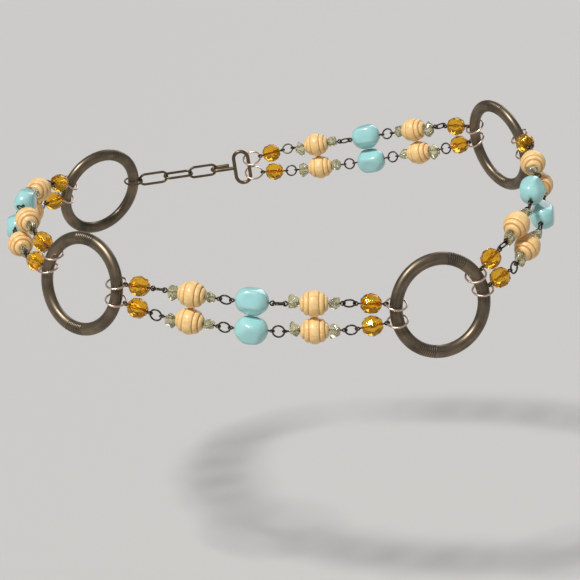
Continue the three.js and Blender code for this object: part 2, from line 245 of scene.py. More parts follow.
@dataclass(frozen=True)
class Waist:
    """The oval that the belt lies on, and how the belt's middle line rises round it."""

    half_depth: float = 98.4955
    width_over_depth: float = 1.390863
    squareness: float = 2.24
    width_loss: float = 0.375
    depth_loss: float = 0.025
    rise_to_back: float = 25.9
    right_over_left: float = 12.1
    rise_at_sides: float = 16.6
    quarter_lean: float = -8.2

    def height(self, turn: Array) -> Array:
        """The middle line's height: b (1 - cos t) / 2 + r sin t + s (1 - cos 2t) / 2 + q sin 2t.

        Args:
            turn: Angles t round the waist from the front's middle.

        Returns:
            One height for each angle.
        """
        return (
            self.rise_to_back * (1 - np.cos(turn)) / 2
            + self.right_over_left * np.sin(turn)
            + self.rise_at_sides * (1 - np.cos(2 * turn)) / 2
            + self.quarter_lean * np.sin(2 * turn)
        )

    def point(self, turn: Array, height: Array) -> Array:
        """The waist's surface: (w sgn(sin t) |sin t|^(2/n), -d sgn(cos t) |cos t|^(2/n), height).

        Args:
            turn: Angles round the waist from the front's middle.
            height: Heights, which lessen the half width w and the half depth d.

        Returns:
            One point for each angle.
        """
        power = 2 / self.squareness
        width = self.half_depth * self.width_over_depth - self.width_loss * height
        depth = self.half_depth - self.depth_loss * height
        across, forward = np.sin(turn), np.cos(turn)
        return np.stack(
            [
                width * np.sign(across) * np.abs(across) ** power,
                -depth * np.sign(forward) * np.abs(forward) ** power,
                height + 0 * turn,
            ],
            axis=-1,
        )


class Route:
    """The belt's middle line, sampled round the waist and read by distance from the front."""

    STEPS = 720
    NUDGE = 0.01
    CHORD = 2.0

    def __init__(self, waist: Waist, standoff: float) -> None:
        """Samples the line that lies one standoff off the waist.

        Args:
            waist: The oval that the belt lies on.
            standoff: How far the line lies off it, along (dp/dt x dp/dh) / |dp/dt x dp/dh|.
        """
        turns = np.linspace(0, 2 * np.pi, self.STEPS + 1)
        heights = waist.height(turns)
        half = self.CHORD / 2
        round_ = waist.point(turns + self.NUDGE, heights) - waist.point(turns - self.NUDGE, heights)
        rise = waist.point(turns, heights + half) - waist.point(turns, heights - half)
        self.outward = unit(np.cross(round_, rise))
        self.points = waist.point(turns, heights) + standoff * self.outward
        steps = np.linalg.norm(np.diff(self.points, axis=0), axis=1)
        self.distances = np.concatenate([[0.0], np.cumsum(steps)])

    def _read(self, values: Array, distance: float) -> Array:
        """The sampled values at a distance, straight between samples."""
        wrapped = distance % self.distances[-1]
        return np.array([np.interp(wrapped, self.distances, column) for column in values.T])

    def stand(self, distance: float) -> Stand:
        """The place and directions at a distance round the belt.

        Args:
            distance: Millimetres along the middle line from the front's middle.

        Returns:
            The stand there, with out made square to along, and up = out x along.
        """
        ahead = self._read(self.points, distance + self.CHORD / 2)
        along = unit(ahead - self._read(self.points, distance - self.CHORD / 2))
        outward = self._read(self.outward, distance)
        out = unit(outward - (outward @ along) * along)
        return Stand(self._read(self.points, distance), along, out, np.cross(out, along))


@dataclass(frozen=True)
class Joint:
    """A link between two pins, or between a pin and what the string hangs on."""

    point: Array
    stand: Stand
    link: Link


@dataclass(frozen=True)
class Pin:
    """A pin from the middle of one link's wire to the middle of the next, and its bead's middle."""

    start: Array
    end: Array
    direction: Array
    middle: Array


@dataclass(frozen=True)
class Section:
    """A double string between two holders."""

    name: str
    pitches: float
    first: Holder
    last: Holder


SECTIONS = (
    Section("front", 0, Holder.FRONT_LEFT, Holder.FRONT_RIGHT),
    Section("right", 1, Holder.FRONT_RIGHT, Holder.BACK_RIGHT),
    Section("back", 2, Holder.BACK_RIGHT, Holder.HOOK),
    Section("left", -1, Holder.BACK_LEFT, Holder.FRONT_LEFT),
)
RING_PITCHES = {
    Holder.FRONT_LEFT: -0.5,
    Holder.FRONT_RIGHT: 0.5,
    Holder.BACK_RIGHT: 1.5,
    Holder.BACK_LEFT: -1.5,
}
LARGE_LINK_TURNS = {
    Holder.FRONT_LEFT: -24.0,
    Holder.FRONT_RIGHT: -24.0,
    Holder.BACK_RIGHT: 30.0,
    Holder.BACK_LEFT: 30.0,
    Holder.HOOK: 30.0,
}


class Layout:
    """Where each ring, link, pin and bead lies, worked out from the sizes as in the solids."""

    def __init__(self, sizes: Sizes, waist: Waist) -> None:
        """Works out the distances along a string and the belt's route.

        Args:
            sizes: The belt's sizes.
            waist: The oval that it lies on.
        """
        self.sizes = sizes
        s = sizes
        large, small = s.large_link, s.small_link
        to_large = s.bar_radius + s.large_inner - s.link_clearance - s.bar_width / 2
        to_first = (
            to_large
            + large.wire_radius
            + s.eye_reach(large)
            + s.amber.length
            + s.eye_reach(small)
            + small.wire_radius
        )
        chipped = s.wood.length + 2 * (s.chip_length + s.gap)
        to_second = to_first + 2 * (small.wire_radius + s.eye_reach(small)) + chipped
        half = to_second + small.wire_radius + s.eye_reach(small) + s.turquoise.length / 2
        self.pitch = 2 * half
        turquoise_spread = s.turquoise.radius + s.gap / 2
        wood_spread = 2 * (s.wood.radius + s.gap / 2) - turquoise_spread
        self.amber_spread = 2 * (s.amber.radius + s.gap / 2) - wood_spread
        first, second = half - to_first, half - to_second
        self.small_joints = (
            (-first, wood_spread),
            (-second, turquoise_spread),
            (second, turquoise_spread),
            (first, wood_spread),
        )
        standoff = (s.amber.radius + s.turquoise.radius) / 2 - s.gap / 2
        self.route = Route(waist, standoff)
        self.rings = {
            holder: self.route.stand(pitches * self.pitch).moved(-s.ring_inset, -s.ring_drop)
            for holder, pitches in RING_PITCHES.items()
        }
        hook = 2 * self.pitch + half - s.bar_radius + s.bar_width / 2 - s.hook_wire / 2
        self.hook = self.route.stand(hook).moved(-s.ring_inset)

    def section_stand(self, section: Section) -> Stand:
        """The place and directions of a section's middle."""
        return self.route.stand(section.pitches * self.pitch)

    def bar_point(self, holder: Holder, end: int, side: float) -> tuple[Array, float]:
        """The point of a holder's bar that a link goes round, and half the bar's width there.

        Args:
            holder: What the link goes round.
            end: 1 where the string leaves along the belt, -1 where it arrives.
            side: 1 for the upper string, -1 for the lower one and 0 for the belt's middle line.

        Returns:
            The point, at along = sqrt(R^2 - up^2) on a ring, and the half width.
        """
        s = self.sizes
        if holder is Holder.HOOK:
            return self.hook.offset(up=side * self.amber_spread), s.hook_wire / 2
        up = side * self.amber_spread + s.ring_drop
        along = float(np.sqrt(s.bar_radius**2 - up**2))
        point = self.rings[holder].offset(along=end * along, up=up)
        return point, s.bar_width / 2 * s.bar_radius / along

    def _large_joint(self, holder: Holder, end: int, side: int, neighbour: Array) -> Joint:
        """The large link round a holder's bar, pulled to its neighbour until the bar stops it.

        Args:
            holder: What the link goes round.
            end: 1 where the string leaves along the belt, -1 where it arrives.
            side: 1 for the upper string and -1 for the lower one.
            neighbour: The middle of the string's nearest small link.

        Returns:
            The joint.
        """
        s = self.sizes
        point, half_bar = self.bar_point(holder, end, side)
        slack = s.large_inner - s.link_clearance - half_bar
        stand = self.hook if holder is Holder.HOOK else self.rings[holder]
        return Joint(point + slack * unit(neighbour - point), stand, s.large_link)

    def joints(self, section: Section, row: Row) -> list[Joint]:
        """The joints of a string.

        Args:
            section: The section that the string is in.
            row: Which of its two strings it is.

        Returns:
            A large link, four small ones and a large link, in order along the belt.
        """
        small = []
        for along, spread in self.small_joints:
            stand = self.route.stand(section.pitches * self.pitch + along)
            point = stand.offset(up=row.value * spread)
            small.append(Joint(point, stand, self.sizes.small_link))
        first = self._large_joint(section.first, 1, row.value, small[0].point)
        last = self._large_joint(section.last, -1, row.value, small[3].point)
        return [first, *small, last]

    def pins(self, joints: list[Joint]) -> list[Pin]:
        """The five pins of a string, each between two of its joints.

        Args:
            joints: The string's six joints.

        Returns:
            The pins. Each bead lies midway, less half of what the two eyes' reaches differ by.
        """
        made = []
        for before, after in zip(joints, joints[1:]):
            direction = unit(after.point - before.point)
            start = before.point + direction * before.link.wire_radius
            end = after.point - direction * after.link.wire_radius
            uneven = self.sizes.eye_reach(before.link) - self.sizes.eye_reach(after.link)
            made.append(Pin(start, end, direction, (start + end) / 2 + direction * uneven / 2))
        return made


@dataclass(frozen=True)
class Surface:
    """Corners in millimetres, faces, each corner's own coordinates, and its mask of wear and
    painted shade.
    """

    corners: Array
    faces: tuple[Array, ...]
    own: Array
    wear_and_shade: Array

    def placed(self, placing: Placing) -> "Surface":
        """The same surface in the belt's frame, with its own coordinates kept."""
        return Surface(placing.put(self.corners), self.faces, self.own, self.wear_and_shade)

    def shifted(self, own: Array) -> "Surface":
        """The same surface with its own coordinates moved, so that its pattern differs."""
        return Surface(self.corners, self.faces, self.own + own, self.wear_and_shade)


def lattice(rows: int, columns: int, ring: bool) -> Array:
    """Quads of a grid whose columns close, and whose rows close too when ring is true.

    Args:
        rows: How many rows the grid has.
        columns: How many corners each row has.
        ring: Whether the last row joins the first.

    Returns:
        Corner numbers (r, c), (r, c + 1), (r + 1, c + 1), (r + 1, c), which face outwards.
    """
    row = np.arange(rows if ring else rows - 1)[:, None]
    column = np.arange(columns)[None, :]
    after, beside = (row + 1) % rows, (column + 1) % columns
    quads = [
        row * columns + column,
        row * columns + beside,
        after * columns + beside,
        after * columns + column,
    ]
    return np.stack(quads, axis=-1).reshape(-1, 4)


def facets(turned: Array, columns: int) -> Array:
    """Triangles between rows of corners, some of them turned half a side.

    Args:
        turned: For each row, whether it is turned.
        columns: How many corners each row has.

    Returns:
        Corner numbers. Each band's diagonals join the corners that lie nearest each other.
    """
    rows = len(turned)
    row = np.arange(rows)[:, None]
    column = np.arange(columns)[None, :]
    after, beside = (row + 1) % rows, (column + 1) % columns
    here, next_here = row * columns + column, row * columns + beside
    there, next_there = after * columns + column, after * columns + beside
    leaning = (turned & ~np.roll(turned, -1))[:, None, None]
    first = np.where(
        leaning,
        np.stack([here, next_there, there], axis=-1),
        np.stack([here, next_here, there], axis=-1),
    )
    second = np.where(
        leaning,
        np.stack([here, next_here, next_there], axis=-1),
        np.stack([next_here, next_there, there], axis=-1),
    )
    return np.concatenate([first.reshape(-1, 3), second.reshape(-1, 3)])


def tube(path: Array, side: Array, radius: float, ring: bool, sides: int = 12) -> Surface:
    """A round wire along a path: p + r (cos t s + sin t (d x s)).

    Args:
        path: Points of the wire's middle line.
        side: A direction square to the path at each point, or one for all of them.
        radius: The wire's radius r.
        ring: Whether the path closes. An open one gets a flat cap at each end.
        sides: Corners round the wire.

    Returns:
        The surface, whose own coordinates are its place round the wire and along it.
    """
    if ring:
        ahead = np.roll(path, -1, axis=0) - np.roll(path, 1, axis=0)
        distance = 3 * np.sin(2 * np.pi * np.arange(len(path)) / len(path))
    else:
        ahead = np.gradient(path, axis=0)
        steps = np.linalg.norm(np.diff(path, axis=0), axis=1)
        distance = np.concatenate([[0.0], np.cumsum(steps)])
    direction = unit(ahead)
    side = unit(side - (side * direction).sum(-1, keepdims=True) * direction)
    across = np.cross(direction, side)
    turn = 2 * np.pi * np.arange(sides) / sides
    cos, sin = np.cos(turn)[None, :, None], np.sin(turn)[None, :, None]
    corners = path[:, None] + radius * (cos * side[:, None] + sin * across[:, None])
    own = np.stack(np.broadcast_arrays(cos[..., 0], sin[..., 0], distance[:, None]), axis=-1)
    faces = [lattice(len(path), sides, ring)]
    if not ring:
        last = np.arange(sides)[None, :] + (len(path) - 1) * sides
        faces += [np.arange(sides)[None, ::-1], last]
    flat = corners.reshape(-1, 3)
    return Surface(flat, tuple(faces), own.reshape(-1, 3), np.ones(len(flat)))


def lathe(radius: Array, height: Array, columns: int, drill: float, wear_and_shade: Array) -> Surface:
    """A drilled turned form round Y: (r(h) sin t, h, r(h) cos t), closed through its hole.

    Args:
        radius: The outline's radii from the low end to the high end.
        height: The outline's heights.
        columns: Corners round it.
        drill: The hole's radius.
        wear_and_shade: How exposed each place of the outline is; where it falls to 0, in the
            grooves, the wood's finish paints shade.

    Returns:
        The surface, with its own coordinates in millimetres.
    """
    radius = np.concatenate([radius, [drill, drill]])
    height = np.concatenate([height, height[[-1, 0]]])
    # The drill hole's two rows get 0, so painted shade lines the hole of a wood bead.
    wear_and_shade = np.concatenate([wear_and_shade, [0.0, 0.0]])
    turn = 2 * np.pi * np.arange(columns) / columns
    corners = np.stack(
        [
            radius[:, None] * np.sin(turn),
            height[:, None] + 0 * turn,
            radius[:, None] * np.cos(turn),
        ],
        axis=-1,
    ).reshape(-1, 3)
    faces = (lattice(len(radius), columns, ring=True),)
    return Surface(corners, faces, corners, np.repeat(wear_and_shade, columns))


def oval_path(length: float, width: float, wire: float, steps: int) -> Array:
    """The middle line of a round or long link in the XY plane, long along Y.

    Args:
        length: The link's outer length.
        width: Its outer width.
        wire: Its wire's diameter.
        steps: Points round it.

    Returns:
        Points (r cos t, r sin t + sgn(sin t) (l - w) / 2), with r = (w - wire) / 2.
    """
    turn = 2 * np.pi * (np.arange(steps) + 0.5) / steps
    radius = (width - wire) / 2
    lift = np.sign(np.sin(turn)) * (length - width) / 2
    return np.stack([radius * np.cos(turn), radius * np.sin(turn) + lift, 0 * turn], axis=-1)


def link_surface(link: Link, steps: int = 44, sides: int = 12) -> Surface:
    """A link as a closed wire in the XY plane."""
    path = oval_path(link.outer, link.width or link.outer, link.wire, steps)
    return tube(path, np.array([0.0, 0.0, 1.0]), link.wire / 2, ring=True, sides=sides)


@dataclass(frozen=True)
class Nugget:
    """A cut stone or pressed bead: a form between planes, whose edges are rounded off."""

    seed: int
    sides: int
    softness: float
    jitter: float
    rows: int
    columns: int
    pole: float
    lift: float
    fullness: float
    upper_twist: float = 0.3
    lift_jitter: float = 0.6
    reach_jitter: float = 0.35
    end_reach: float = 1.02

    def surface(self, size: tuple[float, float, float], drill: float, off: float = 0.0) -> Surface:
        """The nugget round Y, drilled from end to end.

        Along a direction d its edge is at r = (sum_i max(0, d . n_i / k_i)^p)^(-1/p), where the
        planes have normals n_i and distances k_i. A larger p gives sharper edges.

        Args:
            size: Its outer sizes along X, Y and Z.
            drill: The hole's radius.
            off: How far its middle lies along X from the hole's.

        Returns:
            The surface, with its own coordinates in millimetres.
        """
        chance = np.random.default_rng(self.seed)
        bands = np.radians([-self.lift, 0.0, self.lift])
        turns = np.arange(self.sides) * 2 * np.pi / self.sides
        twists = np.array([0.0, np.pi / self.sides, self.upper_twist])
        turn = turns[None, :] + twists[:, None]
        turn = turn + self.jitter * chance.uniform(-1, 1, turn.shape)
        lift_share = self.lift_jitter * self.jitter
        lift = bands[:, None] + lift_share * chance.uniform(-1, 1, turn.shape)
        around = np.stack(
            [np.cos(lift) * np.cos(turn), np.sin(lift), np.cos(lift) * np.sin(turn)], axis=-1
        )
        normals = np.concatenate([around.reshape(-1, 3), [[0, 1, 0], [0, -1, 0]]])
        reach = 1 + self.reach_jitter * self.jitter * chance.uniform(-1, 1, len(normals))
        reach[: self.sides] *= self.fullness
        reach[-self.sides - 2 : -2] *= self.fullness
        reach[-2:] = self.end_reach
        polar = np.linspace(self.pole, np.pi - self.pole, self.rows)
        spin = 2 * np.pi * np.arange(self.columns) / self.columns
        direction = np.stack(
            [
                np.sin(polar)[:, None] * np.sin(spin),
                -np.cos(polar)[:, None] + 0 * spin,
                np.sin(polar)[:, None] * np.cos(spin),
            ],
            axis=-1,
        )
        support = np.clip(direction @ normals.T / reach, 0, None)
        radius = (support**self.softness).sum(-1) ** (-1 / self.softness)
        corners = direction * radius[..., None]
        low, high = corners.min((0, 1)), corners.max((0, 1))
        corners = (corners - (low + high) / 2) / (high - low) * size + [off, 0.0, 0.0]
        ends = corners[[-1, 0], :, 1].mean(1)
        hole = np.stack(
            [
                np.broadcast_to(drill * np.sin(spin), (2, self.columns)),
                np.broadcast_to(ends[:, None], (2, self.columns)),
                np.broadcast_to(drill * np.cos(spin), (2, self.columns)),
            ],
            axis=-1,
        )
        whole = np.concatenate([corners, hole])
        flat = whole.reshape(-1, 3)
        faces = (lattice(len(whole), self.columns, ring=True),)
        return Surface(flat, faces, flat, np.ones(len(flat)))


class Value:
    """A number or colour socket on which shader maths is written with Python's operators."""

    def __init__(self, nodes: "Nodes", socket: bpy.types.NodeSocket) -> None:
        """Wraps a socket of a material's nodes."""
        self.nodes = nodes
        self.socket = socket

    def _maths(self, operation: str, *values: "Value | float") -> "Value":
        """A Math node on up to two values."""
        inputs = dict(enumerate(values))
        return self.nodes.node("ShaderNodeMath", {"operation": operation}, inputs)

    def __add__(self, other: "Value | float") -> "Value":
        """self + other."""
        return self._maths("ADD", self, other)

    __radd__ = __add__

    def __mul__(self, other: "Value | float") -> "Value":
        """self * other."""
        return self._maths("MULTIPLY", self, other)

    __rmul__ = __mul__

    def __sub__(self, other: "Value | float") -> "Value":
        """self - other."""
        return self._maths("SUBTRACT", self, other)

    def __rsub__(self, other: "Value | float") -> "Value":
        """other - self."""
        return self._maths("SUBTRACT", other, self)

    def between(self, low: float, high: float) -> "Value":
        """How far self has come from low to high, held between 0 and 1."""
        inputs = {0: self, 1: low, 2: high, 3: 0.0, 4: 1.0}
        return self.nodes.node("ShaderNodeMapRange", {"clamp": True}, inputs)


class Nodes:
    """A material's node tree, in which one method makes any node."""

    def __init__(self, name: str) -> None:
        """Makes the material with its Principled shader.

        Args:
            name: The material's name.
        """
        self.material = bpy.data.materials.new(name)
        self.material.use_nodes = True
        self.tree = self.material.node_tree
        self.shader = self.tree.nodes["Principled BSDF"]

    def node(
        self,
        kind: str,
        settings: dict | None = None,
        inputs: dict | None = None,
        output: int | str = 0,
    ) -> Value:
        """Adds a node.

        Args:
            kind: The node's type.
            settings: Its own settings, set first.
            inputs: Values or linked sockets by the input's name or number.
            output: The output's name or number.

        Returns:
            The output, ready for maths.
        """
        made = self.tree.nodes.new(kind)
        for name, setting in (settings or {}).items():
            setattr(made, name, setting)
        for key, value in (inputs or {}).items():
            self._feed(made.inputs[key], value)
        return Value(self, made.outputs[output])

    def _feed(self, socket: bpy.types.NodeSocket, value: "Value | float | Colour") -> None:
        """Links a socket to a value, or sets it.

        Args:
            socket: The socket.
            value: A value of this material's nodes, a number or a colour.
        """
        if isinstance(value, Value):
            self.tree.links.new(value.socket, socket)
        else:
            socket.default_value = value

    def constants(self, **values: float | Colour) -> None:
        """Sets the shader's own sockets, named with _ for a space."""
        for name, value in values.items():
            self.shader.inputs[name.replace("_", " ")].default_value = value

    def feed(self, name: str, value: Value) -> None:
        """Links one of the shader's sockets."""
        self.tree.links.new(value.socket, self.shader.inputs[name])

    def own(self) -> Value:
        """A piece's own coordinates."""
        settings = {"attribute_name": "own", "attribute_type": "GEOMETRY"}
        return self.node("ShaderNodeAttribute", settings, output="Vector")

    def wear_and_shade(self) -> Value:
        """How exposed each place of a piece is, from 0 in its cuts to 1 on its crests: patina on
        bronze, painted shade on wood.
        """
        settings = {"attribute_name": "wear_and_shade", "attribute_type": "GEOMETRY"}
        return self.node("ShaderNodeAttribute", settings, output="Fac")

    def place(self) -> Value:
        """The place in the belt's frame, in metres."""
        return self.node("ShaderNodeTexCoord", output="Object")

    def stretched(self, vector: Value, scale: tuple[float, float, float]) -> Value:
        """Coordinates scaled along each axis."""
        return self.node("ShaderNodeMapping", None, {"Vector": vector, "Scale": scale})

    def noise(
        self, vector: Value, scale: float, detail: float = 3.0, distortion: float = 0.0
    ) -> Value:
        """Cloudy noise between 0 and 1."""
        inputs = {"Vector": vector, "Scale": scale, "Detail": detail, "Distortion": distortion}
        return self.node("ShaderNodeTexNoise", {"noise_dimensions": "3D"}, inputs)

    def mix(
        self, share: "Value | float", first: "Value | Colour", second: "Value | Colour"
    ) -> Value:
        """A colour between two, by a share."""
        inputs = {0: share, 6: first, 7: second}
        return self.node("ShaderNodeMix", {"data_type": "RGBA"}, inputs, output=2)

    def bump(self, height: Value, strength: float, distance: float) -> None:
        """Lifts the surface's shading by a height."""
        inputs = {"Height": height, "Strength": strength, "Distance": distance}
        self.feed("Normal", self.node("ShaderNodeBump", None, inputs))


@dataclass(frozen=True)
class BronzeFinish:
    """Aged bronze: a dark brown skin, rubbed brighter on its crests, with fine streaks."""

    name: str = "aged_bronze"
    recess: Colour = colour(46, 40, 33)
    skin: Colour = colour(68, 60, 49)
    rubbed: Colour = colour(142, 126, 104)
    roughness: float = 0.32

    def material(self) -> bpy.types.Material:
        """Mixes the three tones by wear, streaks and clouds.

        Returns:
            The material.
        """
        n = Nodes(self.name)
        n.constants(Specular_IOR_Level=0.5)
        streaks = n.noise(n.stretched(n.own(), (1.6, 1.6, 0.35)), 3.0, 4.0)
        clouds = n.noise(n.place(), 95.0, 4.0, 0.4)
        grain = n.noise(n.place(), 900.0, 2.0)
        share = (streaks * 0.6 + clouds * 0.6).between(0.42, 0.78)
        tone = n.mix(share, self.skin, self.rubbed)
        n.feed("Base Color", n.mix(n.wear_and_shade().between(0.0, 0.6), self.recess, tone))
        n.feed("Roughness", self.roughness + clouds * 0.22 - share * 0.1)
        n.feed("Metallic", 0.62 + share * 0.3)
        n.bump(streaks * 0.6 + grain * 0.4, 0.12, 0.0003)
        return n.material


@dataclass(frozen=True)
class WireFinish:
    """Plated wire, with cloudy tarnish and drawn scratches along it."""

    name: str
    bright: Colour
    tarnish: Colour
    roughness: float

    def material(self) -> bpy.types.Material:
        """Mixes bright plating and tarnish.

        Returns:
            The material.
        """
        n = Nodes(self.name)
        clouds = n.noise(n.place(), 260.0, 3.0, 0.5)
        lines = n.noise(n.stretched(n.own(), (2.5, 2.5, 0.4)), 4.0, 3.0)
        share = (clouds * 0.7 + lines * 0.4).between(0.42, 0.72)
        n.feed("Base Color", n.mix(share, self.bright, self.tarnish))
        n.feed("Roughness", self.roughness + share * 0.18)
        n.feed("Metallic", 0.96 - share * 0.16)
        n.bump(lines, 0.1, 0.0001)
        return n.material


@dataclass(frozen=True)
class AmberFinish:
    """Honey amber glass, with clouds of deeper colour and a clear polish."""

    name: str = "amber_glass"
    light: Colour = colour(255, 208, 72)
    deep: Colour = colour(252, 170, 28)
    spark: Colour = colour(255, 206, 120)

    def material(self) -> bpy.types.Material:
        """Clear glass whose tint varies within each bead.

        Returns:
            The material.
        """
        n = Nodes(self.name)
        n.constants(Transmission_Weight=0.92, IOR=1.54)
        n.constants(Specular_IOR_Level=0.5, Specular_Tint=self.spark)
        clouds = n.noise(n.own(), 0.32, 3.0, 0.6)
        n.feed("Base Color", n.mix(clouds.between(0.35, 0.68), self.light, self.deep))
        specks = n.noise(n.own(), 2.6, 2.0)
        n.feed("Roughness", 0.03 + specks.between(0.6, 0.8) * 0.1)
        n.bump(specks, 0.05, 0.0001)
        return n.material


@dataclass(frozen=True)
class WoodFinish:
    """Pale turned wood under thin varnish: fine grain along the bead, and painted shade in its
    grooves.
    """

    name: str = "turned_wood"
    pale: Colour = colour(250, 216, 150)
    warm: Colour = colour(230, 180, 112)
    # A darker brown: painted shade for the grooves and the drill hole.
    groove: Colour = colour(204, 144, 82)

    def material(self) -> bpy.types.Material:
        """Streaks of grain, fine pores, and painted shade in the cuts and the drill hole.

        Returns:
            The material.
        """
        n = Nodes(self.name)
        n.constants(Coat_Weight=0.35, Coat_Roughness=0.28, Specular_IOR_Level=0.4)
        grain = n.noise(n.stretched(n.own(), (1.0, 0.16, 1.0)), 1.1, 5.0, 0.8)
        pores = n.noise(n.stretched(n.own(), (1.0, 0.22, 1.0)), 6.0, 3.0)
        wood = n.mix((grain * 0.8 + pores * 0.3).between(0.4, 0.75), self.pale, self.warm)
        # Painted shade: the groove colour goes where the mask falls to 0, in the cuts and the drill
        # hole.
        n.feed("Base Color", n.mix(n.wear_and_shade().between(0.05, 0.9), self.groove, wood))
        n.feed("Roughness", 0.42 + grain * 0.2)
        n.bump(grain * 0.5 + pores * 0.5, 0.16, 0.0002)
        return n.material


@dataclass(frozen=True)
class TurquoiseFinish:
    """Glossy pressed glass of a milky pale turquoise, with faint swirls."""

    name: str = "turquoise_ceramic"
    pale: Colour = colour(172, 220, 217)
    deep: Colour = colour(150, 206, 205)

    def material(self) -> bpy.types.Material:
        """Milky swirls under a clear polish.

        Returns:
            The material.
        """
        n = Nodes(self.name)
        n.constants(Coat_Weight=0.6, Coat_Roughness=0.06, IOR=1.5, Specular_IOR_Level=0.55)
        swirls = n.noise(n.own(), 0.12, 3.0, 1.0)
        veins = n.noise(n.own(), 0.7, 4.0, 0.8)
        tone = n.mix((swirls * 0.8 + veins * 0.25).between(0.3, 0.8), self.pale, self.deep)
        n.feed("Base Color", tone)
        n.feed("Roughness", 0.16 + veins * 0.14)
        n.bump(swirls + veins * 0.3, 0.05, 0.0003)
        return n.material


@dataclass(frozen=True)
class ChipFinish:
    """Small translucent olive stones with darker flaws."""

    name: str = "olive_chips"
    clear: Colour = colour(242, 240, 212)
    olive: Colour = colour(204, 198, 150)

    def material(self) -> bpy.types.Material:
        """Stone that lets light through, cloudy and flawed.

        Returns:
            The material.
        """
        n = Nodes(self.name)
        n.constants(Transmission_Weight=0.82, IOR=1.6, Specular_IOR_Level=0.6)
        flaws = n.noise(n.own(), 0.3, 3.0, 0.8)
        n.feed("Base Color", n.mix(flaws.between(0.35, 0.68), self.clear, self.olive))
        n.feed("Roughness", 0.03 + flaws * 0.1)
        n.bump(flaws, 0.06, 0.0002)
        return n.material


@dataclass(frozen=True)
class FloorFinish:
    """A plain pale floor."""

    name: str = "pale_floor"
    paint: Colour = colour(197, 195, 192)

    def material(self) -> bpy.types.Material:
        """Matt paint.

        Returns:
            The material.
        """
        n = Nodes(self.name)
        n.constants(Base_Color=self.paint, Roughness=0.85, Specular_IOR_Level=0.2)
        return n.material


def make_object(
    name: str, surfaces: list[Surface], material: bpy.types.Material, smooth: bool
) -> bpy.types.Object:
    """One mesh object in metres from several surfaces.

    Args:
        name: The object's name.
        surfaces: Its closed surfaces.
        material: Its finish.
        smooth: Whether its faces shade as one curved form.

    Returns:
        The object, at the origin, with its own coordinates and its mask of wear and painted shade
        as attributes.
    """
    starts = np.cumsum([0] + [len(surface.corners) for surface in surfaces])
    faces = [
        (block + start).tolist()
        for surface, start in zip(surfaces, starts)
        for block in surface.faces
    ]
    mesh = bpy.data.meshes.new(name)
    corners = np.concatenate([surface.corners for surface in surfaces]) * MM
    mesh.from_pydata(corners.tolist(), [], [face for block in faces for face in block])
    own = np.concatenate([surface.own for surface in surfaces]).astype(np.float32)
    mesh.attributes.new("own", "FLOAT_VECTOR", "POINT").data.foreach_set("vector", own.ravel())
    wear_and_shade = np.concatenate([surface.wear_and_shade for surface in surfaces]).astype(np.float32)
    mesh.attributes.new("wear_and_shade", "FLOAT", "POINT").data.foreach_set("value", wear_and_shade)
    mesh.polygons.foreach_set("use_smooth", np.full(len(mesh.polygons), smooth))
    mesh.materials.append(material)
    mesh.update()
    made = bpy.data.objects.new(name, mesh)
    bpy.context.scene.collection.objects.link(made)
    return made


def add_piece(
    name: str,
    surfaces: list[Surface],
    material: bpy.types.Material,
    nodes: list[str],
    smooth: bool = True,
) -> None:
    """Adds a piece that rides on the belt and stands for its solids.

    Args:
        name: The piece's name.
        surfaces: Its closed surfaces.
        material: Its finish.
        nodes: The solids that it stands for.
        smooth: Whether its faces shade as one curved form.
    """
    made = make_object(name, surfaces, material, smooth)
    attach(made, "root")
    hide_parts(*nodes)
    LOG.info("%s: %d faces", name, len(made.data.polygons))


